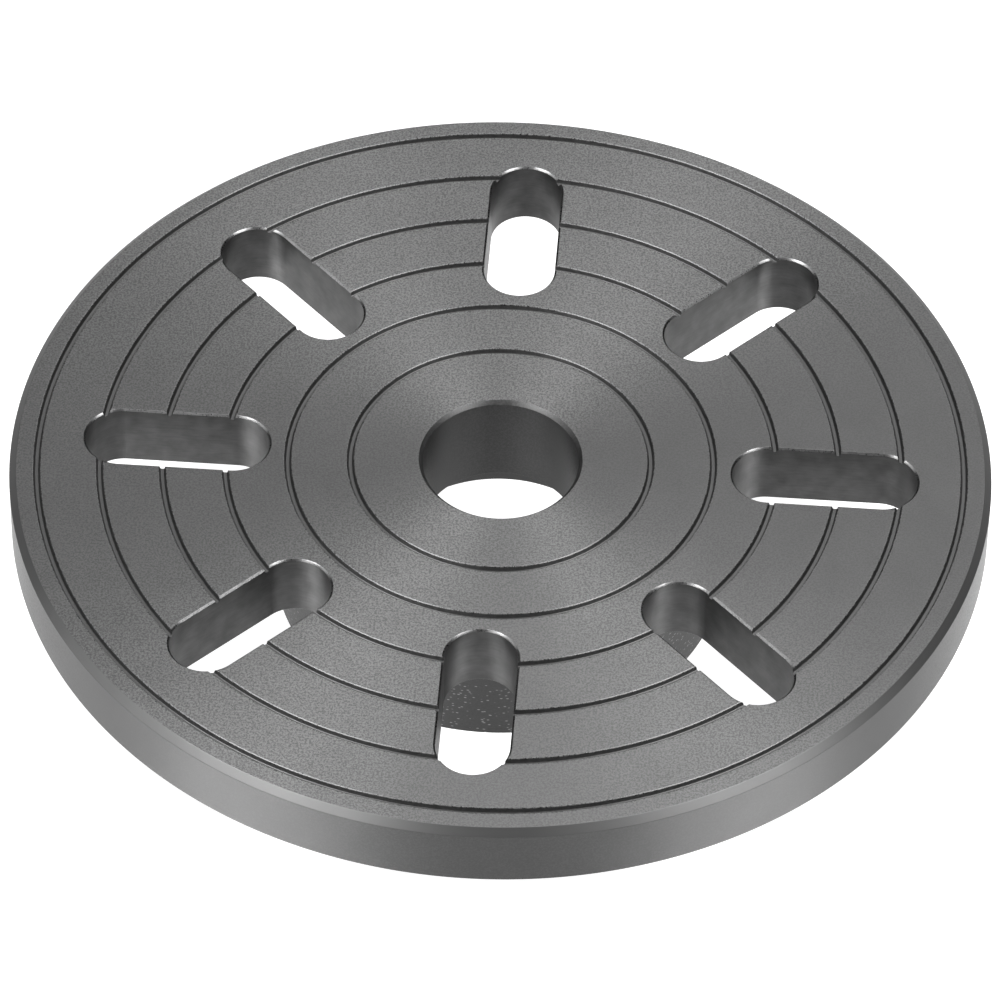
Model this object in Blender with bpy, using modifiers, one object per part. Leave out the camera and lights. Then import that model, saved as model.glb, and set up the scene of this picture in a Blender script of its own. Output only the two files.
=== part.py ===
"""A lathe faceplate, 254 mm across, with a camlock mount of size 4 on the back of its hub.

Metres, +Z up. The work face looks up, the bore's axis is Z, and the origin is on that axis at the
height of the three stud tips, on which the faceplate stands when it is laid down.
"""

from math import cos, pi, radians, sin, tan

import bmesh
import bpy
from mathutils import Matrix, Vector

# Plate
PLATE_RADIUS = 0.127
PLATE_THICKNESS = 0.0186
FACE_CHAMFER = 0.0018
BACK_CHAMFER = 0.0008

# Centring grooves, turned in the work face
GROOVES = 6
GROOVE_RADIUS = 0.03885
GROOVE_PITCH = 0.0162
GROOVE_WIDTH = 0.00175
GROOVE_FLOOR_WIDTH = 0.0010
GROOVE_DEPTH = 0.0013

# Radial slots, milled through the plate
SLOTS = 8
SLOT_WIDTH = 0.0188
SLOT_INNER_END = 0.0600
SLOT_OUTER_END = 0.1079
SLOT_FACE_CHAMFER = 0.0005
SLOT_BACK_CHAMFER = 0.0002

# Hub, bore and spindle socket: a camlock mount of size 4, with a 1:4 taper on the diameter
CASTING_DEPTH = 0.0416
HUB_RADIUS = 0.1174750 / 2
HUB_CHAMFER = 0.0011
BORE_RADIUS = 0.0202
BORE_LENGTH = 0.0268
BORE_CHAMFER = 0.0010
SOCKET_MOUTH_RADIUS = 0.0635130 / 2
SOCKET_HALF_ANGLE = radians(7.125)
SOCKET_MOUTH_CHAMFER = 0.0002

# Camlock studs
STUDS = 3
STUD_CIRCLE_RADIUS = 0.0825500 / 2
FIRST_STUD_ANGLE = radians(54)
STUD_RADIUS = 0.00795
STUD_PROUD = 0.0250
STUD_TIP_CHAMFER = 0.0018
STUD_SEAT_DEPTH = 0.0060
STUD_THREAD_RADIUS = 0.0055
STUD_THREAD_LENGTH = 0.0120
DEPTH_LINE_OFFSET = 0.0010
DEPTH_LINE_WIDTH = 0.0008
DEPTH_LINE_DEPTH = 0.0003
CAM_RADIUS = 0.0110
CAM_BITE = 0.0045
CAM_HEIGHT = 0.0125

# Stud lock screws: M6 socket head cap screws
LOCK_OFFSET = 0.0115
LOCK_HEAD_RADIUS = 0.0050
LOCK_HEAD_HEIGHT = 0.0060
LOCK_HEAD_SUNK = 0.0005
LOCK_SHANK_RADIUS = 0.0030
LOCK_SHANK_LENGTH = 0.0120
LOCK_KEY_WIDTH = 0.0050
LOCK_KEY_DEPTH = 0.0030
SCREW_CHAMFER = 0.0005

# Gap between a piece and its neighbour, and how far a cutter passes the surface that it cuts
CLEARANCE = 0.0003
OVERRUN = 0.0010

# Heights above the stud tips
HUB_BACK = STUD_PROUD
FACE = HUB_BACK + CASTING_DEPTH
PLATE_BACK = FACE - PLATE_THICKNESS
SOCKET_FLOOR = FACE - BORE_LENGTH

# Sides of the round pieces
PLATE_SIDES = 72
STUD_SIDES = 32
SCREW_SIDES = 24
SLOT_END_STEPS = 12


def clear_scene():
    for obj in list(bpy.data.objects):
        bpy.data.objects.remove(obj, do_unlink=True)


def new_collection(name):
    collection = bpy.data.collections.new(name)
    bpy.context.scene.collection.children.link(collection)
    return collection


def metal(name, colour, roughness):
    material = bpy.data.materials.new(name)
    material.use_nodes = True
    shader = material.node_tree.nodes["Principled BSDF"]
    shader.inputs["Base Color"].default_value = (*colour, 1.0)
    shader.inputs["Metallic"].default_value = 1.0
    shader.inputs["Roughness"].default_value = roughness
    return material


def new_object(name, mesh, collection, material=None):
    obj = bpy.data.objects.new(name, mesh)
    collection.objects.link(obj)
    if material:
        mesh.materials.append(material)
    if collection.hide_render:
        obj.hide_render = True
        obj.display_type = "WIRE"
    return obj


def turned(name, profile, closed, sides, collection, material=None):
    """A profile of (radius, height) points, down its outer side, swept round the object's own Z."""
    edges = [(i, i + 1) for i in range(len(profile) - 1)]
    if closed:
        edges.append((len(profile) - 1, 0))
    mesh = bpy.data.meshes.new(name)
    mesh.from_pydata([(radius, 0.0, height) for radius, height in profile], edges, [])
    obj = new_object(name, mesh, collection, material)
    screw = obj.modifiers.new("turn", "SCREW")
    screw.steps = screw.render_steps = sides
    screw.use_merge_vertices = True
    screw.merge_threshold = 0.00001
    return obj


def cut(target, cutter):
    boolean = target.modifiers.new(cutter.name, "BOOLEAN")
    boolean.operation = "DIFFERENCE"
    boolean.solver = "EXACT"
    boolean.object = cutter


def groove_profile(radius):
    """One groove's four points, from its inner edge to its outer edge."""
    return [
        (radius - GROOVE_WIDTH / 2, FACE),
        (radius - GROOVE_FLOOR_WIDTH / 2, FACE - GROOVE_DEPTH),
        (radius + GROOVE_FLOOR_WIDTH / 2, FACE - GROOVE_DEPTH),
        (radius + GROOVE_WIDTH / 2, FACE),
    ]


def faceplate_profile():
    """The turned section: face, rim, plate back, hub, spindle socket and bore."""
    socket_floor_radius = SOCKET_MOUTH_RADIUS - (SOCKET_FLOOR - HUB_BACK) * tan(SOCKET_HALF_ANGLE)
    profile = [(BORE_RADIUS + BORE_CHAMFER, FACE)]
    for index in range(GROOVES):
        profile += groove_profile(GROOVE_RADIUS + index * GROOVE_PITCH)
    profile += [
        (PLATE_RADIUS - FACE_CHAMFER, FACE),
        (PLATE_RADIUS, FACE - FACE_CHAMFER),
        (PLATE_RADIUS, PLATE_BACK + BACK_CHAMFER),
        (PLATE_RADIUS - BACK_CHAMFER, PLATE_BACK),
        (HUB_RADIUS, PLATE_BACK),
        (HUB_RADIUS, HUB_BACK + HUB_CHAMFER),
        (HUB_RADIUS - HUB_CHAMFER, HUB_BACK),
        (SOCKET_MOUTH_RADIUS + SOCKET_MOUTH_CHAMFER, HUB_BACK),
        (SOCKET_MOUTH_RADIUS, HUB_BACK + SOCKET_MOUTH_CHAMFER),
        (socket_floor_radius, SOCKET_FLOOR),
        (BORE_RADIUS, SOCKET_FLOOR),
        (BORE_RADIUS, FACE - BORE_CHAMFER),
    ]
    return profile


def slot_ring(bm, half_width, height):
    """One level of the slot cutter: an outline with round ends, joined by edges."""
    ends = (
        (SLOT_OUTER_END - SLOT_WIDTH / 2, -pi / 2),
        (SLOT_INNER_END + SLOT_WIDTH / 2, pi / 2),
    )
    corners = []
    for centre, start in ends:
        for step in range(SLOT_END_STEPS + 1):
            angle = start + pi * step / SLOT_END_STEPS
            point = (centre + half_width * cos(angle), half_width * sin(angle), height)
            corners.append(bm.verts.new(point))
    return [bm.edges.new(pair) for pair in zip(corners, corners[1:] + corners[:1])]


def slot_cutter_mesh():
    """The slot along +X, flared at both ends so that it cuts its own edge chamfers."""
    half_width = SLOT_WIDTH / 2
    bm = bmesh.new()
    rings = [
        slot_ring(bm, half_width + SLOT_BACK_CHAMFER + OVERRUN, PLATE_BACK - OVERRUN),
        slot_ring(bm, half_width, PLATE_BACK + SLOT_BACK_CHAMFER),
        slot_ring(bm, half_width, FACE - SLOT_FACE_CHAMFER),
        slot_ring(bm, half_width + SLOT_FACE_CHAMFER + OVERRUN, FACE + OVERRUN),
    ]
    for lower, upper in zip(rings, rings[1:]):
        bmesh.ops.bridge_loops(bm, edges=lower + upper)
    bmesh.ops.contextual_create(bm, geom=rings[0])
    bmesh.ops.contextual_create(bm, geom=rings[-1])
    bmesh.ops.recalc_face_normals(bm, faces=bm.faces)
    mesh = bpy.data.meshes.new("slot_cutter")
    bm.to_mesh(mesh)
    bm.free()
    return mesh


def stud_frames():
    """Each stud's number, and its place on the stud circle."""
    for index in range(STUDS):
        angle = FIRST_STUD_ANGLE + index * 2 * pi / STUDS
        place = Matrix.Rotation(angle, 4, "Z") @ Matrix.Translation((STUD_CIRCLE_RADIUS, 0, 0))
        yield index + 1, place


def lock_place(stud_place):
    """A lock screw's place: beside its stud, square to the line from the bore."""
    return stud_place @ Matrix.Translation((0, LOCK_OFFSET, 0))


def hole(name, radius, top, seat_radius, seat_top, place, cutters):
    """A stepped hole's cutter, entering the hub's back: a wide seat, then a narrower hole."""
    profile = [
        (0, top),
        (radius, top),
        (radius, seat_top),
        (seat_radius, seat_top),
        (seat_radius, HUB_BACK - OVERRUN),
        (0, HUB_BACK - OVERRUN),
    ]
    obj = turned(name, profile, False, STUD_SIDES, cutters)
    obj.matrix_world = place
    return obj


def make_faceplate(collection, cutters, material):
    body = turned("faceplate", faceplate_profile(), True, PLATE_SIDES, collection, material)
    slot_mesh = slot_cutter_mesh()
    for index in range(SLOTS):
        slot = new_object(f"slot_{index + 1}", slot_mesh, cutters)
        slot.rotation_euler.z = index * 2 * pi / SLOTS
        cut(body, slot)
    for number, place in stud_frames():
        stud_hole = hole(
            f"stud_hole_{number}",
            STUD_THREAD_RADIUS + CLEARANCE,
            HUB_BACK + STUD_SEAT_DEPTH + STUD_THREAD_LENGTH + CLEARANCE,
            STUD_RADIUS + CLEARANCE,
            HUB_BACK + STUD_SEAT_DEPTH + CLEARANCE,
            place,
            cutters,
        )
        lock_seat = HUB_BACK + LOCK_HEAD_SUNK + LOCK_HEAD_HEIGHT + CLEARANCE
        lock_hole = hole(
            f"lock_hole_{number}",
            LOCK_SHANK_RADIUS + CLEARANCE,
            lock_seat + LOCK_SHANK_LENGTH,
            LOCK_HEAD_RADIUS + CLEARANCE,
            lock_seat,
            lock_place(place),
            cutters,
        )
        cut(body, stud_hole)
        cut(body, lock_hole)
    return body


def stud_profile():
    """Thread, then the body with its depth line just clear of the hub, then the chamfered tip."""
    thread_top = HUB_BACK + STUD_SEAT_DEPTH + STUD_THREAD_LENGTH
    line_top = HUB_BACK - DEPTH_LINE_OFFSET
    return [
        (0, thread_top),
        (STUD_THREAD_RADIUS - SCREW_CHAMFER, thread_top),
        (STUD_THREAD_RADIUS, thread_top - SCREW_CHAMFER),
        (STUD_THREAD_RADIUS, HUB_BACK + STUD_SEAT_DEPTH),
        (STUD_RADIUS, HUB_BACK + STUD_SEAT_DEPTH),
        (STUD_RADIUS, line_top),
        (STUD_RADIUS - DEPTH_LINE_DEPTH, line_top - DEPTH_LINE_WIDTH / 2),
        (STUD_RADIUS, line_top - DEPTH_LINE_WIDTH),
        (STUD_RADIUS, STUD_TIP_CHAMFER),
        (STUD_RADIUS - STUD_TIP_CHAMFER, 0),
        (0, 0),
    ]


def cylinder(name, radius, length, sides, collection):
    """A cylinder about its own Z, centred on its origin."""
    bm = bmesh.new()
    bmesh.ops.create_cone(
        bm, cap_ends=True, segments=sides, radius1=radius, radius2=radius, depth=length
    )
    mesh = bpy.data.meshes.new(name)
    bm.to_mesh(mesh)
    bm.free()
    return new_object(name, mesh, collection)


def make_stud(number, place, collection, cutters, material):
    """A stud with the notch that the spindle's cam pulls on and the scallop for its lock screw."""
    stud = turned(f"cam_stud_{number}", stud_profile(), False, STUD_SIDES, collection, material)
    stud.matrix_world = place

    notch = cylinder(f"cam_{number}", CAM_RADIUS, 4 * STUD_RADIUS, STUD_SIDES, cutters)
    side = -(STUD_RADIUS + CAM_RADIUS - CAM_BITE)
    notch.matrix_world = (
        place @ Matrix.Translation((0, side, HUB_BACK - CAM_HEIGHT)) @ Matrix.Rotation(pi / 2, 4, "Y")
    )
    cut(stud, notch)

    scallop_length = STUD_SEAT_DEPTH + 2 * OVERRUN
    scallop = cylinder(
        f"scallop_{number}", LOCK_HEAD_RADIUS + CLEARANCE, scallop_length, STUD_SIDES, cutters
    )
    scallop_middle = Vector((0, 0, HUB_BACK + STUD_SEAT_DEPTH / 2))
    scallop.matrix_world = lock_place(place) @ Matrix.Translation(scallop_middle)
    cut(stud, scallop)
    return stud


def lock_screw_profile():
    head_end = HUB_BACK + LOCK_HEAD_SUNK
    seat = head_end + LOCK_HEAD_HEIGHT
    shank_end = seat + LOCK_SHANK_LENGTH - CLEARANCE
    return [
        (0, shank_end),
        (LOCK_SHANK_RADIUS - SCREW_CHAMFER, shank_end),
        (LOCK_SHANK_RADIUS, shank_end - SCREW_CHAMFER),
        (LOCK_SHANK_RADIUS, seat),
        (LOCK_HEAD_RADIUS, seat),
        (LOCK_HEAD_RADIUS, head_end + SCREW_CHAMFER),
        (LOCK_HEAD_RADIUS - SCREW_CHAMFER, head_end),
        (0, head_end),
    ]


def make_lock_screw(number, place, collection, cutters, material):
    """A socket head cap screw, its hexagon socket facing down."""
    name = f"stud_lock_screw_{number}"
    screw = turned(name, lock_screw_profile(), False, SCREW_SIDES, collection, material)
    screw.matrix_world = lock_place(place)

    corner_radius = LOCK_KEY_WIDTH / 2 / cos(pi / 6)
    key = cylinder(f"key_{number}", corner_radius, 2 * LOCK_KEY_DEPTH, 6, cutters)
    key.matrix_world = lock_place(place) @ Matrix.Translation((0, 0, HUB_BACK + LOCK_HEAD_SUNK))
    cut(screw, key)
    return screw


def shade_round(obj):
    obj.data.shade_smooth()
    obj.data.set_sharp_from_angle(angle=radians(30))


def main():
    clear_scene()
    parts = new_collection("lathe_faceplate")
    cutters = new_collection("cutters")
    cutters.hide_render = True

    iron = metal("turned_iron", (0.20, 0.20, 0.20), 0.42)
    steel = metal("ground_steel", (0.38, 0.38, 0.37), 0.30)
    black = metal("black_oxide", (0.05, 0.05, 0.05), 0.45)

    made = [make_faceplate(parts, cutters, iron)]
    for number, place in stud_frames():
        made.append(make_stud(number, place, parts, cutters, steel))
        made.append(make_lock_screw(number, place, parts, cutters, black))
    for obj in made:
        shade_round(obj)


main()
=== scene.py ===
"""The looks of the lathe faceplate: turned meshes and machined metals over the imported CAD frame.

Metres, in the frame of the CAD model: +Z up, the bore's axis is Z, and one slot lies along +X.
"""

from math import cos, hypot, pi, radians, sin, tan

import bmesh
import bpy
from mathutils import Matrix, Vector


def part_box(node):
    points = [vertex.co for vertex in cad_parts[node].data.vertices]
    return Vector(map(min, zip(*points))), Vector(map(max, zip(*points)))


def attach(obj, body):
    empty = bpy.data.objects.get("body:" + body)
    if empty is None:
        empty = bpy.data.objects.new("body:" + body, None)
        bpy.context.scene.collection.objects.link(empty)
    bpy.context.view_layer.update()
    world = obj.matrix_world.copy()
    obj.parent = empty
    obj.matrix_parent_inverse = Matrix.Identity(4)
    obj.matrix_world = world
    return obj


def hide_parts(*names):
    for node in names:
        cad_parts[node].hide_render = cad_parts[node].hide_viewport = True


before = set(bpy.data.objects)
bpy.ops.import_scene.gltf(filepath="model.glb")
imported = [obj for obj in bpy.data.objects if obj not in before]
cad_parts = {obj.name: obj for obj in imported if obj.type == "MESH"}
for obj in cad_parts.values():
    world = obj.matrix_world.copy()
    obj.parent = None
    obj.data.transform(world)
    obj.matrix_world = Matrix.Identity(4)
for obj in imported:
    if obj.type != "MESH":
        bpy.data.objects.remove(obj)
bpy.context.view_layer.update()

# Heights and radii that the CAD frame gives
PLATE_LOW, PLATE_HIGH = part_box("faceplate")
FACE = PLATE_HIGH.z
HUB_BACK = PLATE_LOW.z
PLATE_RADIUS = PLATE_HIGH.x

# Plate, as in the CAD model
PLATE_BACK = FACE - 0.0186
FACE_CHAMFER = 0.0018
BACK_CHAMFER = 0.0008
GROOVES = 6
GROOVE_RADIUS = 0.03885
GROOVE_PITCH = 0.0162
GROOVE_WIDTH = 0.00175
GROOVE_FLOOR_WIDTH = 0.0010
GROOVE_DEPTH = 0.0013

# Slots, as in the CAD model
SLOTS = 8
SLOT_WIDTH = 0.0188
SLOT_INNER_END = 0.0600
SLOT_OUTER_END = 0.1079
SLOT_FACE_CHAMFER = 0.0005
SLOT_BACK_CHAMFER = 0.0002

# Hub, bore and spindle socket, as in the CAD model
HUB_RADIUS = 0.1174750 / 2
HUB_CHAMFER = 0.0011
HUB_CORNER = 0.0012
BORE_RADIUS = 0.0202
BORE_CHAMFER = 0.0010
SOCKET_FLOOR = FACE - 0.0268
SOCKET_MOUTH_RADIUS = 0.0635130 / 2
SOCKET_MOUTH_CHAMFER = 0.0002
SOCKET_FLOOR_RADIUS = SOCKET_MOUTH_RADIUS - (SOCKET_FLOOR - HUB_BACK) * tan(radians(7.125))

# Studs and their lock screws, as in the CAD model
STUDS = 3
STUD_CIRCLE_RADIUS = 0.0825500 / 2
FIRST_STUD_ANGLE = radians(54)
STUD_RADIUS = 0.00795
STUD_TIP_CHAMFER = 0.0018
STUD_SEAT_DEPTH = 0.0060
STUD_THREAD_RADIUS = 0.0055
STUD_THREAD_LENGTH = 0.0120
DEPTH_LINE_OFFSET = 0.0010
DEPTH_LINE_WIDTH = 0.0008
DEPTH_LINE_DEPTH = 0.0003
CAM_RADIUS = 0.0110
CAM_BITE = 0.0045
CAM_HEIGHT = 0.0125
LOCK_OFFSET = 0.0115
LOCK_HEAD_RADIUS = 0.0050
LOCK_HEAD_HEIGHT = 0.0060
LOCK_HEAD_SUNK = 0.0005
LOCK_SHANK_RADIUS = 0.0030
LOCK_SHANK_LENGTH = 0.0120
LOCK_KEY_WIDTH = 0.0050
LOCK_KEY_DEPTH = 0.0030
CLEARANCE = 0.0003

# How softly the machined edges are broken, and how far a cutter passes the surface that it cuts
FINE_EDGE = 0.00010
TURNED_EDGE = 0.00018
GROOVE_EDGE = 0.00030
GROOVE_FLOOR_ROUND = 0.00025
REACH = 0.0010
CUTTER_LIFT = 0.000002

# The part of a groove's rounded edge that is its lip, the angle from which an edge stays sharp,
# and how far broad flats win over narrow faces in the shading
LIP_SHARE = 0.8
SHARP_ANGLE = radians(32)
FLATS_WEIGHT = 80

# Facets of the round pieces
PLATE_STEPS = 720
STUD_STEPS = 128
SLOT_END_STEPS = 48
ROUNDING_STEPS = 4

# Material slots on the faceplate's mesh
# Among these slots, darker copies of the turned iron paint shade in the grooves, on the rim and in
# the bore, and brighter materials paint highlights on the grooves' lips, the face chamfer and the
# slots' broken edges
FACE_TURNED, GROOVE_LIP_PAINTED_HIGHLIGHT, GROOVE_PAINTED_SHADE, CHAMFER_PAINTED_HIGHLIGHT, RIM_PAINTED_SHADE = range(5)
# The bore's slot holds a darker copy of the turned iron: painted shade in the bore, on its chamfer
# and in the socket
BORE_PAINTED_SHADE, HUB_SIDE, MILLED, BROKEN_EDGE_PAINTED_HIGHLIGHT = range(5, 9)

# The turned iron's grain, tool marks and clouds across, and how much rougher a light grain is
GRAIN = 0.00055
TOOL_MARKS = 0.0009
CLOUDS = 0.012
GRAIN_ROUGHNESS = 0.40

# Rings on a wall count height by this much more than radius, so they don't repeat the face's
WALL_RING_FACTOR = 1.7

# The shader's rotation that lays the turned iron's highlights across its tool marks
ACROSS_MARKS = 0.25


def rounded(corners):
    """An outline of (across, height, rounding) corners, with each rounding made an arc."""
    outline = []
    neighbours = zip(corners[-1:] + corners[:-1], corners, corners[1:] + corners[:1])
    for before, corner, after in neighbours:
        point = Vector(corner[:2])
        if not corner[2]:
            outline.append(point)
            continue
        back = (Vector(before[:2]) - point).normalized()
        ahead = (Vector(after[:2]) - point).normalized()
        half_angle = back.angle(ahead) / 2
        centre = point + (back + ahead).normalized() * corner[2] / sin(half_angle)
        start = point + back * corner[2] / tan(half_angle) - centre
        end = point + ahead * corner[2] / tan(half_angle) - centre
        for step in range(ROUNDING_STEPS + 1):
            outward = start.lerp(end, step / ROUNDING_STEPS).normalized()
            outline.append(centre + outward * corner[2])
    return outline


def mesh_object(name, bm, materials):
    mesh = bpy.data.meshes.new(name)
    bm.to_mesh(mesh)
    bm.free()
    for material in materials:
        mesh.materials.append(material)
    obj = bpy.data.objects.new(name, mesh)
    bpy.context.scene.collection.objects.link(obj)
    return obj


def turned(name, corners, closed, steps, materials):
    """An outline, running down its outer side, swept round the object's own Z."""
    bm = bmesh.new()
    rings = []
    for radius, height in rounded(corners):
        count = steps if radius > 0 else 1
        angles = [2 * pi * step / steps for step in range(count)]
        rings.append([bm.verts.new((radius * cos(a), radius * sin(a), height)) for a in angles])
    below = rings[1:] + (rings[:1] if closed else [])
    for upper, lower in zip(rings, below):
        for step in range(steps):
            following = (step + 1) % steps
            if len(upper) == 1:
                corner_verts = (upper[0], lower[step], lower[following])
            elif len(lower) == 1:
                corner_verts = (upper[step], lower[0], upper[following])
            else:
                corner_verts = (upper[step], lower[step], lower[following], upper[following])
            bm.faces.new(corner_verts)
    return mesh_object(name, bm, materials)


def slot_outline(bm, offset, height):
    """One level of a slot: straight sides and round ends, this far outside the slot's own wall."""
    half_width = SLOT_WIDTH / 2
    ends = ((SLOT_OUTER_END - half_width, -pi / 2), (SLOT_INNER_END + half_width, pi / 2))
    ring = []
    for centre, start in ends:
        for step in range(SLOT_END_STEPS + 1):
            angle = start + pi * step / SLOT_END_STEPS
            reach = half_width + offset
            ring.append(bm.verts.new((centre + reach * cos(angle), reach * sin(angle), height)))
    return ring


def slot_cutter(materials):
    """The slot along +X, with the broken edges that it leaves at the face and the plate's back."""
    levels = rounded([
        (SLOT_BACK_CHAMFER + REACH, PLATE_BACK - REACH, 0),
        (0, PLATE_BACK + SLOT_BACK_CHAMFER, FINE_EDGE),
        (0, FACE - SLOT_FACE_CHAMFER, FINE_EDGE),
        (SLOT_FACE_CHAMFER, FACE + CUTTER_LIFT, FINE_EDGE),
        (SLOT_FACE_CHAMFER + REACH, FACE + CUTTER_LIFT, 0),
    ])
    bm = bmesh.new()
    rings = [slot_outline(bm, offset, height) for offset, height in levels]
    milled_reach = (FACE - PLATE_BACK) / 2 - SLOT_FACE_CHAMFER - FINE_EDGE
    for lower, upper in zip(rings, rings[1:]):
        for index, vert in enumerate(lower):
            following = (index + 1) % len(lower)
            wall = bm.faces.new((vert, lower[following], upper[following], upper[index]))
            from_middle = abs(wall.calc_center_median().z - (PLATE_BACK + FACE) / 2)
            wall.material_index = BROKEN_EDGE_PAINTED_HIGHLIGHT if from_middle > milled_reach else MILLED
    lid = [bm.verts.new((v.co.x, v.co.y, FACE + REACH)) for v in rings[-1]]
    for index, vert in enumerate(rings[-1]):
        following = (index + 1) % len(lid)
        bm.faces.new((vert, rings[-1][following], lid[following], lid[index]))
    bm.faces.new(lid)
    bm.faces.new(rings[0][::-1])
    return mesh_object("slot_cutter", bm, materials)


def cut(target, cutter):
    """Takes the cutter's shape out of the target for good, and leaves the cutter as it is."""
    boolean = target.modifiers.new("cut", "BOOLEAN")
    boolean.operation = "DIFFERENCE"
    boolean.solver = "MANIFOLD"
    boolean.object = cutter
    graph = bpy.context.evaluated_depsgraph_get()
    mesh = bpy.data.meshes.new_from_object(target.evaluated_get(graph))
    target.modifiers.clear()
    old = target.data
    target.data = mesh
    bpy.data.meshes.remove(old)
    mesh.name = target.name


def remove(*objects):
    for obj in objects:
        bpy.data.objects.remove(obj, do_unlink=True)


def finish_edges(obj):
    """Smooth shading that keeps broad flats flat beside their narrow rounded edges."""
    obj.data.shade_smooth()
    obj.data.set_sharp_from_angle(angle=SHARP_ANGLE)
    weighted = obj.modifiers.new("flats", "WEIGHTED_NORMAL")
    weighted.keep_sharp = True
    weighted.weight = FLATS_WEIGHT


def faceplate_corners():
    """The turned section: face with its grooves, rim, plate back, hub, spindle socket and bore."""
    corners = [(BORE_RADIUS + BORE_CHAMFER, FACE, TURNED_EDGE)]
    for index in range(GROOVES):
        middle = GROOVE_RADIUS + index * GROOVE_PITCH
        half, floor_half = GROOVE_WIDTH / 2, GROOVE_FLOOR_WIDTH / 2
        corners += [
            (middle - half, FACE, GROOVE_EDGE),
            (middle - floor_half, FACE - GROOVE_DEPTH, GROOVE_FLOOR_ROUND),
            (middle + floor_half, FACE - GROOVE_DEPTH, GROOVE_FLOOR_ROUND),
            (middle + half, FACE, GROOVE_EDGE),
        ]
    corners += [
        (PLATE_RADIUS - FACE_CHAMFER, FACE, TURNED_EDGE),
        (PLATE_RADIUS, FACE - FACE_CHAMFER, TURNED_EDGE),
        (PLATE_RADIUS, PLATE_BACK + BACK_CHAMFER, TURNED_EDGE),
        (PLATE_RADIUS - BACK_CHAMFER, PLATE_BACK, TURNED_EDGE),
        (HUB_RADIUS, PLATE_BACK, HUB_CORNER),
        (HUB_RADIUS, HUB_BACK + HUB_CHAMFER, TURNED_EDGE),
        (HUB_RADIUS - HUB_CHAMFER, HUB_BACK, TURNED_EDGE),
        (SOCKET_MOUTH_RADIUS + SOCKET_MOUTH_CHAMFER, HUB_BACK, FINE_EDGE),
        (SOCKET_MOUTH_RADIUS, HUB_BACK + SOCKET_MOUTH_CHAMFER, FINE_EDGE),
        (SOCKET_FLOOR_RADIUS, SOCKET_FLOOR, 0),
        (BORE_RADIUS, SOCKET_FLOOR, TURNED_EDGE),
        (BORE_RADIUS, FACE - BORE_CHAMFER, TURNED_EDGE),
    ]
    return corners


def stud_places():
    """Each stud's number, and its place on the stud circle."""
    for index in range(STUDS):
        angle = FIRST_STUD_ANGLE + index * 2 * pi / STUDS
        place = Matrix.Rotation(angle, 4, "Z") @ Matrix.Translation((STUD_CIRCLE_RADIUS, 0, 0))
        yield index + 1, place


def lock_place(stud_place):
    """A lock screw's place: beside its stud, square to the line from the bore."""
    return stud_place @ Matrix.Translation((0, LOCK_OFFSET, 0))


def stepped_hole(name, radius, top, seat_radius, seat_top, material):
    """A cutter for a hole in the hub's back: a wide seat with a broken edge, then a narrow hole."""
    corners = [
        (0, top, 0),
        (radius, top, 0),
        (radius, seat_top, 0),
        (seat_radius, seat_top, 0),
        (seat_radius, HUB_BACK + CLEARANCE, 0),
        (seat_radius + CLEARANCE + REACH, HUB_BACK - REACH, 0),
        (0, HUB_BACK - REACH, 0),
    ]
    return turned(name, corners, False, STUD_STEPS, [material])


def turned_region(radius, height):
    """Which of the turned materials a point of the faceplate's surface has: the grooves, rim and
    bore take darker copies of the iron as painted shade, the grooves' lips and the face chamfer
    lighter copies as painted highlight.
    """
    if radius > PLATE_RADIUS - FACE_CHAMFER - TURNED_EDGE and height > PLATE_BACK:
        return CHAMFER_PAINTED_HIGHLIGHT if height > FACE - FACE_CHAMFER else RIM_PAINTED_SHADE
    if radius < BORE_RADIUS + BORE_CHAMFER and height > FACE - BORE_CHAMFER:
        return BORE_PAINTED_SHADE
    if height > PLATE_BACK + FACE_CHAMFER and radius > BORE_RADIUS + BORE_CHAMFER:
        if height > FACE - CUTTER_LIFT:
            return FACE_TURNED
        return GROOVE_LIP_PAINTED_HIGHLIGHT if height > FACE - LIP_SHARE * GROOVE_EDGE else GROOVE_PAINTED_SHADE
    if height < HUB_BACK + HUB_CHAMFER:
        return FACE_TURNED
    if radius < SOCKET_MOUTH_RADIUS + SOCKET_MOUTH_CHAMFER:
        return BORE_PAINTED_SHADE
    return HUB_SIDE if height < PLATE_BACK - FINE_EDGE else FACE_TURNED


def make_faceplate(materials):
    plate = turned("faceplate_finish", faceplate_corners(), True, PLATE_STEPS, materials)
    for face in plate.data.polygons:
        face.material_index = turned_region(hypot(face.center.x, face.center.y), face.center.z)

    slot = slot_cutter(materials)
    for index in range(SLOTS):
        slot.matrix_world = Matrix.Rotation(index * 2 * pi / SLOTS, 4, "Z")
        cut(plate, slot)

    stud_hole = stepped_hole(
        "stud_hole",
        STUD_THREAD_RADIUS + CLEARANCE,
        HUB_BACK + STUD_SEAT_DEPTH + STUD_THREAD_LENGTH + CLEARANCE,
        STUD_RADIUS + CLEARANCE,
        HUB_BACK + STUD_SEAT_DEPTH + CLEARANCE,
        materials[BORE_PAINTED_SHADE],
    )
    lock_seat = HUB_BACK + LOCK_HEAD_SUNK + LOCK_HEAD_HEIGHT + CLEARANCE
    lock_hole = stepped_hole(
        "lock_hole",
        LOCK_SHANK_RADIUS + CLEARANCE,
        lock_seat + LOCK_SHANK_LENGTH,
        LOCK_HEAD_RADIUS + CLEARANCE,
        lock_seat,
        materials[BORE_PAINTED_SHADE],
    )
    for _, place in stud_places():
        stud_hole.matrix_world = place
        lock_hole.matrix_world = lock_place(place)
        cut(plate, stud_hole)
        cut(plate, lock_hole)
    remove(slot, stud_hole, lock_hole)
    return plate


def cylinder(name, radius, length, steps, material):
    bm = bmesh.new()
    bmesh.ops.create_cone(
        bm, cap_ends=True, segments=steps, radius1=radius, radius2=radius, depth=length
    )
    return mesh_object(name, bm, [material])


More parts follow.
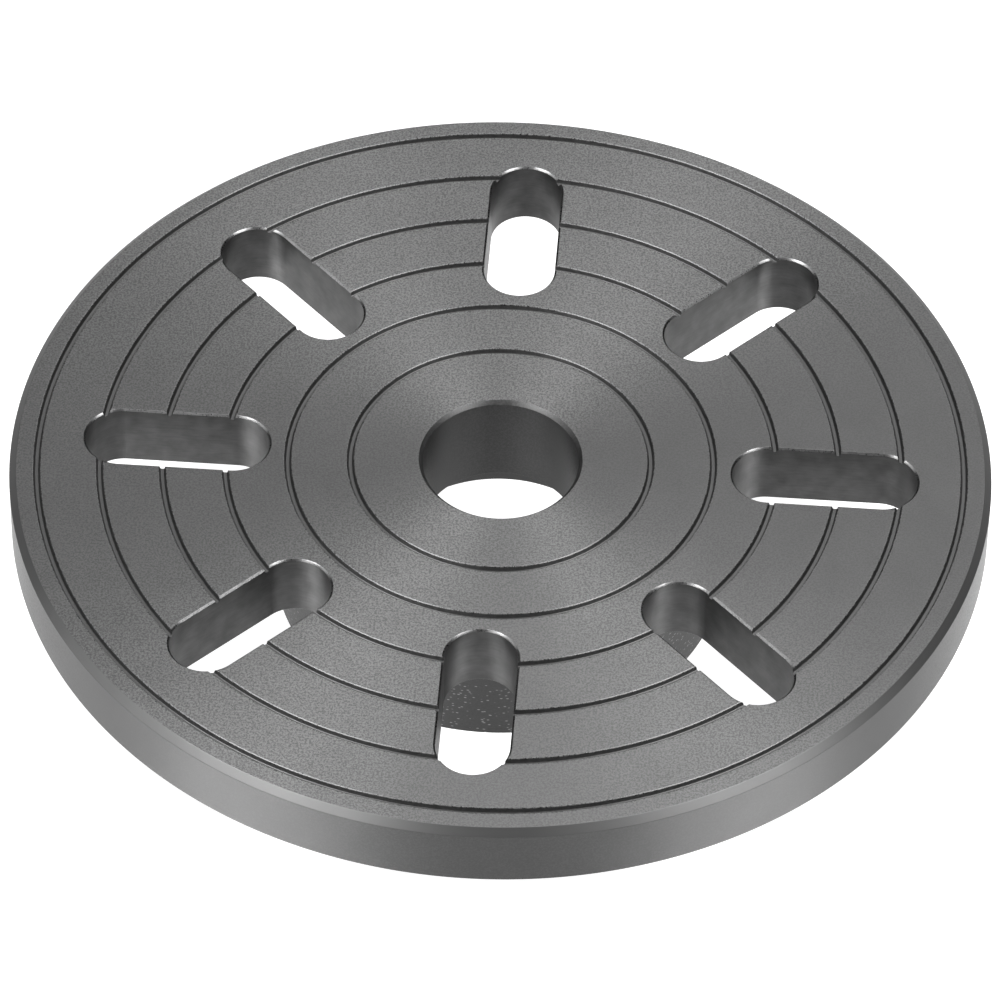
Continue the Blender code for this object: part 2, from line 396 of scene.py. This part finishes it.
def stud_corners():
    """Thread, then the body with its depth line just clear of the hub, then the chamfered tip."""
    thread_top = HUB_BACK + STUD_SEAT_DEPTH + STUD_THREAD_LENGTH
    line_top = HUB_BACK - DEPTH_LINE_OFFSET
    line_floor = STUD_RADIUS - DEPTH_LINE_DEPTH
    return [
        (0, thread_top, 0),
        (STUD_THREAD_RADIUS, thread_top, FINE_EDGE),
        (STUD_THREAD_RADIUS, HUB_BACK + STUD_SEAT_DEPTH, 0),
        (STUD_RADIUS, HUB_BACK + STUD_SEAT_DEPTH, FINE_EDGE),
        (STUD_RADIUS, line_top, 0),
        (line_floor, line_top - DEPTH_LINE_WIDTH / 2, 0),
        (STUD_RADIUS, line_top - DEPTH_LINE_WIDTH, 0),
        (STUD_RADIUS, STUD_TIP_CHAMFER, TURNED_EDGE),
        (STUD_RADIUS - STUD_TIP_CHAMFER, 0, TURNED_EDGE),
        (0, 0, 0),
    ]


def make_stud(number, place, steel):
    """A stud with the notch that the spindle's cam pulls on and the scallop for its lock screw."""
    stud = turned(f"cam_stud_finish_{number}", stud_corners(), False, STUD_STEPS, [steel])
    notch = cylinder("notch", CAM_RADIUS, 4 * STUD_RADIUS, STUD_STEPS, steel)
    side = -(STUD_RADIUS + CAM_RADIUS - CAM_BITE)
    notch.matrix_world = Matrix.Translation((0, side, HUB_BACK - CAM_HEIGHT)) @ Matrix.Rotation(
        pi / 2, 4, "Y"
    )
    scallop_length = STUD_SEAT_DEPTH + 2 * REACH
    scallop = cylinder(
        "scallop", LOCK_HEAD_RADIUS + CLEARANCE, scallop_length, STUD_STEPS, steel
    )
    scallop.matrix_world = Matrix.Translation((0, LOCK_OFFSET, HUB_BACK + STUD_SEAT_DEPTH / 2))
    cut(stud, notch)
    cut(stud, scallop)
    remove(notch, scallop)
    stud.matrix_world = place
    return stud


def lock_screw_corners():
    head_end = HUB_BACK + LOCK_HEAD_SUNK
    seat = head_end + LOCK_HEAD_HEIGHT
    shank_end = seat + LOCK_SHANK_LENGTH - CLEARANCE
    return [
        (0, shank_end, 0),
        (LOCK_SHANK_RADIUS, shank_end, FINE_EDGE),
        (LOCK_SHANK_RADIUS, seat, 0),
        (LOCK_HEAD_RADIUS, seat, FINE_EDGE),
        (LOCK_HEAD_RADIUS, head_end, 5 * FINE_EDGE),
        (0, head_end, 0),
    ]


def make_lock_screw(number, place, oxide):
    """A socket head cap screw, its hexagon socket facing down."""
    name = f"stud_lock_screw_finish_{number}"
    screw = turned(name, lock_screw_corners(), False, STUD_STEPS, [oxide])
    corner_radius = LOCK_KEY_WIDTH / 2 / cos(pi / 6)
    key = cylinder("key", corner_radius, 2 * LOCK_KEY_DEPTH, 6, oxide)
    key.matrix_world = Matrix.Translation((0, 0, HUB_BACK + LOCK_HEAD_SUNK))
    cut(screw, key)
    remove(key)
    screw.matrix_world = lock_place(place)
    return screw


def set_inputs(tree, node, inputs):
    """Gives each input its value, or links it where the value is another node's output."""
    for key, value in inputs.items():
        if isinstance(value, bpy.types.NodeSocket):
            tree.links.new(value, node.inputs[key])
        else:
            node.inputs[key].default_value = value


def add_node(tree, kind, inputs=None, **settings):
    made = tree.nodes.new(kind)
    for key, value in settings.items():
        setattr(made, key, value)
    set_inputs(tree, made, inputs or {})
    return made


def noise(tree, position, period, detail=2.0, roughness=0.5):
    """Noise from 0 to 1 whose features are about this many metres across."""
    inputs = {"Vector": position, "Scale": 1 / period, "Detail": detail, "Roughness": roughness}
    return add_node(tree, "ShaderNodeTexNoise", inputs).outputs["Fac"]


def stretched(tree, position, factor):
    """Coordinates whose height is multiplied, which flattens a pattern or, at 0, ignores height."""
    inputs = {0: position, 1: (1, 1, factor)}
    return add_node(tree, "ShaderNodeVectorMath", inputs, operation="MULTIPLY").outputs[0]


def scaled_plus(tree, value, factor, addend):
    inputs = {0: value, 1: factor, 2: addend}
    return add_node(tree, "ShaderNodeMath", inputs, operation="MULTIPLY_ADD").outputs[0]


def product(tree, first, second):
    inputs = {0: first, 1: second}
    return add_node(tree, "ShaderNodeMath", inputs, operation="MULTIPLY").outputs[0]


def ring_noise(tree, position, period):
    """Noise that changes only across the tool marks, so that it makes rings about the axis."""
    level = {0: stretched(tree, position, 0)}
    radius = add_node(tree, "ShaderNodeVectorMath", level, operation="LENGTH").outputs["Value"]
    height = add_node(tree, "ShaderNodeSeparateXYZ", {0: position}).outputs["Z"]
    across = scaled_plus(tree, height, WALL_RING_FACTOR, radius)
    inputs = {"W": across, "Scale": 1 / period, "Detail": 3.0}
    return add_node(tree, "ShaderNodeTexNoise", inputs, noise_dimensions="1D").outputs["Fac"]


def mapped(tree, value, source, target, clamp=True):
    """A value taken from the source range, (low, high), to the target range."""
    inputs = {
        "Value": value,
        "From Min": source[0],
        "From Max": source[1],
        "To Min": target[0],
        "To Max": target[1],
    }
    return add_node(tree, "ShaderNodeMapRange", inputs, clamp=clamp).outputs["Result"]


def spread(tree, value, low, high):
    """The middle part of a noise's range spread over low to high, and on past them at its tails."""
    return mapped(tree, value, (0.3, 0.7), (low, high), clamp=False)


def grey(level):
    return (level, level, level)


def new_metal(name, colour, anisotropy):
    """A metal material: its tree, its shader, and the surface's own coordinates."""
    material = bpy.data.materials.new(name)
    material.use_nodes = True
    tree = material.node_tree
    shader = tree.nodes["Principled BSDF"]
    plain = {"Base Color": (*colour, 1), "Metallic": 1.0, "Anisotropic": anisotropy}
    set_inputs(tree, shader, plain)
    position = add_node(tree, "ShaderNodeTexCoord").outputs["Object"]
    return material, tree, shader, position


def run_round_axis(tree, shader):
    """Makes the shader's anisotropy follow the tool marks round the axis."""
    tangent = add_node(tree, "ShaderNodeTangent", direction_type="RADIAL", axis="Z")
    tree.links.new(tangent.outputs["Tangent"], shader.inputs["Tangent"])


def set_look(tree, shader, tone, colour, roughness, height, depth):
    """Sets a metal's tone, which is a factor on its colour, its roughness and its bump."""
    tinted = add_node(
        tree, "ShaderNodeVectorMath", {0: colour, "Scale": tone}, operation="SCALE"
    ).outputs[0]
    bump = add_node(tree, "ShaderNodeBump", {"Height": height, "Distance": depth}).outputs[0]
    set_inputs(tree, shader, {"Base Color": tinted, "Roughness": roughness, "Normal": bump})


def turned_iron(name, colour, anisotropy, roughness, torn):
    """Fine-turned grey iron.

    Torn, from 0 to 1, is how open its grain is: light, rough grains on darker, smoother iron.
    """
    material, tree, shader, position = new_metal(name, colour, anisotropy)
    shader.inputs["Anisotropic Rotation"].default_value = ACROSS_MARKS
    run_round_axis(tree, shader)

    grain = mapped(tree, noise(tree, position, GRAIN, 3.0, 0.8), (0.44, 0.62), (-0.25, 0.95))
    rings = ring_noise(tree, position, TOOL_MARKS)
    clouds = noise(tree, position, CLOUDS)
    tone = product(
        tree, scaled_plus(tree, grain, torn, 1.0), spread(tree, clouds, 0.97, 1.03)
    )
    if torn:
        roughness = scaled_plus(tree, grain, GRAIN_ROUGHNESS * torn, roughness)
    set_look(tree, shader, tone, colour, roughness, rings, 0.000004)
    return material


def milled_iron():
    """The slot's wall: level marks left by the end mill, and dark smudges of cutting oil."""
    colour = grey(0.082)
    material, tree, shader, position = new_metal("milled_iron", colour, 0.0)
    streaks = noise(tree, stretched(tree, position, 7), 0.0045, 3.0)
    smudges = noise(tree, position, 0.005, 3.0)
    tone = product(tree, spread(tree, streaks, 0.88, 1.12), spread(tree, smudges, 0.78, 1.18))
    roughness = spread(tree, streaks, 0.42, 0.50)
    set_look(tree, shader, tone, colour, roughness, streaks, 0.00002)
    return material


def broken_edge_painted_highlight():
    """The smooth band where a slot's edge was chamfered, its colour brighter than the iron as a
    painted highlight.
    """
    colour = grey(0.15)
    material, tree, shader, position = new_metal("broken_edge_painted_highlight", colour, 0.0)
    marks = noise(tree, position, 0.0005)
    tone = spread(tree, noise(tree, position, 0.004), 0.85, 1.15)
    set_look(tree, shader, tone, colour, spread(tree, marks, 0.25, 0.35), marks, 0.00002)
    return material


def hub_iron_painted_glints():
    """The hub's side: dull and dark, its darkness partly painted shade beneath the plate, with
    small bright spots that paint the torn skin's sparkle in as glints.
    """
    colour = grey(0.07)
    material, tree, shader, position = new_metal("hub_iron_painted_glints", colour, 0.0)
    spacing = 0.0018
    inputs = {
        "Vector": stretched(tree, position, 2.2),
        "Scale": 1 / spacing,
        "Randomness": 1.0,
    }
    nearest = add_node(tree, "ShaderNodeTexVoronoi", inputs).outputs["Distance"]
    # Bright spots in the colour: painted glints
    painted_glints = mapped(tree, nearest, (0.15, 0.24), (3.4, 1.0))
    grain = noise(tree, position, 0.0006)
    tone = product(tree, painted_glints, spread(tree, grain, 0.9, 1.1))
    set_look(tree, shader, tone, colour, spread(tree, grain, 0.45, 0.55), grain, 0.00005)
    return material


def ground_steel():
    """The studs: hardened steel, ground round their length."""
    colour = (0.36, 0.36, 0.355)
    material, tree, shader, position = new_metal("ground_steel", colour, 0.4)
    run_round_axis(tree, shader)
    marks = ring_noise(tree, position, 0.0005)
    tone = spread(tree, noise(tree, position, 0.003), 0.93, 1.07)
    set_look(tree, shader, tone, colour, spread(tree, marks, 0.24, 0.32), marks, 0.000006)
    return material


def black_oxide():
    """The lock screws: alloy steel with a satin black oxide, worn a little at random."""
    colour = (0.035, 0.035, 0.038)
    material, tree, shader, position = new_metal("black_oxide", colour, 0.0)
    grain = noise(tree, position, 0.0004)
    worn = noise(tree, position, 0.0025, 4.0)
    tone = spread(tree, worn, 0.8, 1.5)
    set_look(tree, shader, tone, colour, spread(tree, grain, 0.35, 0.5), grain, 0.00001)
    return material


def stand_in(obj, node):
    """The object takes the CAD node's place, on its body."""
    finish_edges(obj)
    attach(obj, "root")
    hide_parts(node)


def make_object():
    iron = (
        turned_iron("face_iron", grey(0.103), anisotropy=0.75, roughness=0.39, torn=1.0),
        # Lighter than the face iron: painted highlight on the grooves' lips, which are also
        # smoother
        turned_iron("groove_lip_painted_highlight", grey(0.125), anisotropy=0.75, roughness=0.36, torn=0.9),
        # Darker than the face iron: painted shade inside the grooves
        turned_iron("groove_painted_shade_iron", grey(0.088), anisotropy=0.6, roughness=0.42, torn=0.2),
        # Lighter than the face iron: painted highlight on the rim's chamfer
        turned_iron("chamfer_painted_highlight_iron", grey(0.115), anisotropy=0.5, roughness=0.42, torn=0.0),
        # Darker than the face iron: painted shade on the rim's side
        turned_iron("rim_painted_shade_iron", grey(0.078), anisotropy=0.7, roughness=0.32, torn=0.2),
        # Darker than the face iron: painted shade in the bore and the spindle socket, and on the
        # bore's chamfer
        turned_iron("bore_painted_shade_iron", grey(0.070), anisotropy=0.6, roughness=0.46, torn=0.3),
        hub_iron_painted_glints(),
        milled_iron(),
        broken_edge_painted_highlight(),
    )
    steel = ground_steel()
    oxide = black_oxide()
    stand_in(make_faceplate(iron), "faceplate")
    for number, place in stud_places():
        stand_in(make_stud(number, place, steel), f"cam_stud_{number}")
        screw = make_lock_screw(number, place, oxide)
        stand_in(screw, f"stud_lock_screw_{number}")


# Camera, at the photograph's viewing angle, aimed just below the middle of the face
CAMERA_DISTANCE = 1.8671
CAMERA_ELEVATION = radians(46.633)
CAMERA_AZIMUTH = radians(3.389)
CAMERA_DIP = radians(0.318)
CAMERA_ROLL = radians(0.945)
CAMERA_LENS = 259.86
CAMERA_CLIP_NEAR = 0.01
CAMERA_CLIP_FAR = 100
SENSOR_WIDTH = 36.0
AIM = Vector((0, 0, FACE - 0.00047))

# Floor and surroundings
FLOOR_SIZE = 8.0
FLOOR_LIGHT = 1.0
FLOOR_GLOSS = 0.4
FLOOR_ROUGHNESS = 0.3
ROOM_LIGHT = 0.05


def make_camera():
    data = bpy.data.cameras.new("camera")
    data.lens = CAMERA_LENS
    data.sensor_width = SENSOR_WIDTH
    data.clip_start = CAMERA_CLIP_NEAR
    data.clip_end = CAMERA_CLIP_FAR
    camera = bpy.data.objects.new("camera", data)
    bpy.context.scene.collection.objects.link(camera)
    outward = Vector((0, -cos(CAMERA_ELEVATION), sin(CAMERA_ELEVATION)))
    turn = Matrix.Rotation(CAMERA_AZIMUTH, 4, "Z")
    place = Matrix.Translation(AIM + turn @ (outward * CAMERA_DISTANCE))
    look = Matrix.Rotation(pi / 2 - CAMERA_ELEVATION - CAMERA_DIP, 4, "X")
    camera.matrix_world = place @ turn @ look @ Matrix.Rotation(CAMERA_ROLL, 4, "Z")
    bpy.context.scene.camera = camera


def make_floor():
    """A plain white light table with a glossy top, clear from below so that it hides nothing."""
    bm = bmesh.new()
    bmesh.ops.create_grid(bm, x_segments=1, y_segments=1, size=FLOOR_SIZE / 2)
    material = bpy.data.materials.new("floor")
    material.use_nodes = True
    tree = material.node_tree
    tree.nodes.clear()
    glow = add_node(tree, "ShaderNodeEmission", {"Strength": FLOOR_LIGHT}).outputs[0]
    polish = {"Color": (FLOOR_GLOSS, FLOOR_GLOSS, FLOOR_GLOSS, 1), "Roughness": FLOOR_ROUGHNESS}
    gloss = add_node(tree, "ShaderNodeBsdfGlossy", polish).outputs[0]
    top = add_node(tree, "ShaderNodeAddShader", {0: glow, 1: gloss}).outputs[0]
    clear = add_node(tree, "ShaderNodeBsdfTransparent").outputs[0]
    below = add_node(tree, "ShaderNodeNewGeometry").outputs["Backfacing"]
    mixed = add_node(tree, "ShaderNodeMixShader", {0: below, 1: top, 2: clear}).outputs[0]
    add_node(tree, "ShaderNodeOutputMaterial", {"Surface": mixed})
    floor = mesh_object("floor", bm, [material])


def make_room():
    world = bpy.data.worlds.new("room")
    world.use_nodes = True
    background = world.node_tree.nodes["Background"]
    background.inputs["Color"].default_value = (1, 1, 1, 1)
    background.inputs["Strength"].default_value = ROOM_LIGHT
    bpy.context.scene.world = world


# Soft lights round the plate: angle from the camera's right, elevation, distance, size and power
LIGHTS = {
    "left": (-150, 52, 1.4, 0.8, 26.0),
    "right": (-30, 52, 1.4, 0.8, 22.0),
    "back_left": (120, 65, 1.4, 1.2, 5.5),
    "back_right": (60, 60, 1.4, 1.2, 9.5),
    "side_left": (180, 25, 1.4, 0.7, 2.5),
    "front_left": (-120, 30, 1.4, 0.5, 2.2),
}


def make_lights():
    for name, (azimuth, elevation, distance, size, power) in LIGHTS.items():
        data = bpy.data.lights.new(name, "AREA")
        data.shape = "DISK"
        data.size = size
        data.energy = power
        light = bpy.data.objects.new(name, data)
        bpy.context.scene.collection.objects.link(light)
        turn = Matrix.Rotation(radians(azimuth) + CAMERA_AZIMUTH, 4, "Z")
        direction = turn @ Vector((cos(radians(elevation)), 0, sin(radians(elevation))))
        light.location = AIM + direction * distance
        light.rotation_mode = "QUATERNION"
        light.rotation_quaternion = direction.to_track_quat("Z", "Y")


make_object()
make_camera()
make_floor()
make_room()
make_lights()
bpy.context.scene.view_settings.view_transform = "Standard"
